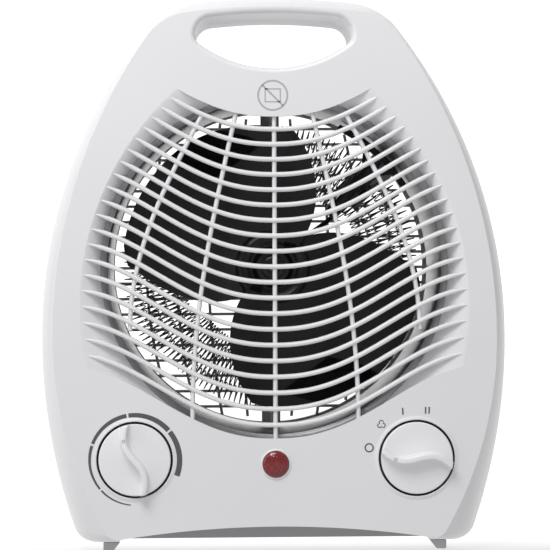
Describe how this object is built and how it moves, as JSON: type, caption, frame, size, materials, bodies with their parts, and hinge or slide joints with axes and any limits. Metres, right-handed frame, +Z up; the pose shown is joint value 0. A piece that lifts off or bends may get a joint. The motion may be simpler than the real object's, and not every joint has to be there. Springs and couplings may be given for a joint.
{
  "type": "fan convector heater",
  "caption": "Upright mains fan heater with a louvred front outlet, rear intake grille, two control knobs, a pilot lamp and a carrying handle.",
  "frame": {"origin": "under the middle of the heater, on the surface that its feet stand on", "axes": "+X to the right seen from the front, +Y from the front to the back, +Z up"},
  "size_m": [0.214, 0.12, 0.254],
  "materials": {
    "casing": "satin moulded, fine texture",
    "knob": "satin moulded",
    "foot": "matt",
    "sheet_steel": "galvanised sheet",
    "screw_steel": "bright zinc plated",
    "heating_wire": "oxidised resistance wire",
    "mica": "pressed mica sheet",
    "fan_black": "satin black",
    "black_plastic": "matt",
    "bronze": "bright",
    "copper": "enamelled windings",
    "magnet": "sintered ferrite",
    "red_lens": "clear red moulding",
    "wire_sleeve": "woven heat-proof sleeve"
  },
  "bodies": {
    "housing": {"front_cover": "casing", "front_grille": "casing", "rear_cover": "casing", "rear_grille": "casing", "foot_front_left": "foot", "foot_front_right": "foot", "foot_rear_left": "foot", "foot_rear_right": "foot", "duct_ring": "sheet_steel", "heating_coil_first_stage": "heating_wire", "heating_coil_second_stage": "heating_wire", "mica_plate_right": "mica", "mica_plate_top": "mica", "mica_plate_left": "mica", "mica_plate_bottom": "mica", "motor_strap": "sheet_steel", "motor_can": "sheet_steel", "motor_end_cap": "black_plastic", "motor_bearing_front": "bronze", "motor_bearing_rear": "bronze", "motor_magnet_left": "magnet", "motor_magnet_right": "magnet", "motor_rectifier": "bronze", "thermostat_body": "sheet_steel", "selector_switch": "black_plastic", "pilot_lamp_lens": "red_lens", "pilot_lamp_holder": "black_plastic", "casing_screw_lower_left": "screw_steel", "casing_screw_lower_right": "screw_steel", "casing_screw_upper_left": "screw_steel", "casing_screw_upper_right": "screw_steel", "strap_screw_lower": "screw_steel", "strap_screw_upper": "screw_steel", "thermal_cutout": "black_plastic", "cutout_bracket": "sheet_steel", "thermal_fuse": "screw_steel", "cord_gland": "black_plastic", "cord_clamp": "black_plastic", "terminal_block": "knob", "wire_block_to_selector": "wire_sleeve", "wire_block_to_thermostat": "wire_sleeve", "wire_to_cutout": "wire_sleeve", "wire_to_motor": "wire_sleeve"},
    "fan_rotor": {"fan_impeller": "fan_black", "fan_nut": "fan_black", "motor_shaft": "screw_steel", "motor_armature": "copper", "motor_commutator": "copper"},
    "thermostat_dial": {"thermostat_knob": "knob", "thermostat_spindle": "bronze"},
    "selector_dial": {"selector_knob": "knob", "selector_spindle": "bronze"}
  },
  "joints": [
    {"name": "fan_spin", "type": "hinge", "parent": "housing", "child": "fan_rotor", "pos_m": [0, -0.017, 0.13], "axis": [0, 1, 0], "continuous": true},
    {"name": "thermostat_turn", "type": "hinge", "parent": "housing", "child": "thermostat_dial", "pos_m": [-0.0636, -0.053, 0.0434], "axis": [0, 1, 0], "range_deg": [-161, 125]},
    {"name": "selector_turn", "type": "hinge", "parent": "housing", "child": "selector_dial", "pos_m": [0.0636, -0.053, 0.0434], "axis": [0, 1, 0], "range_deg": [0, 90]}
  ]
}
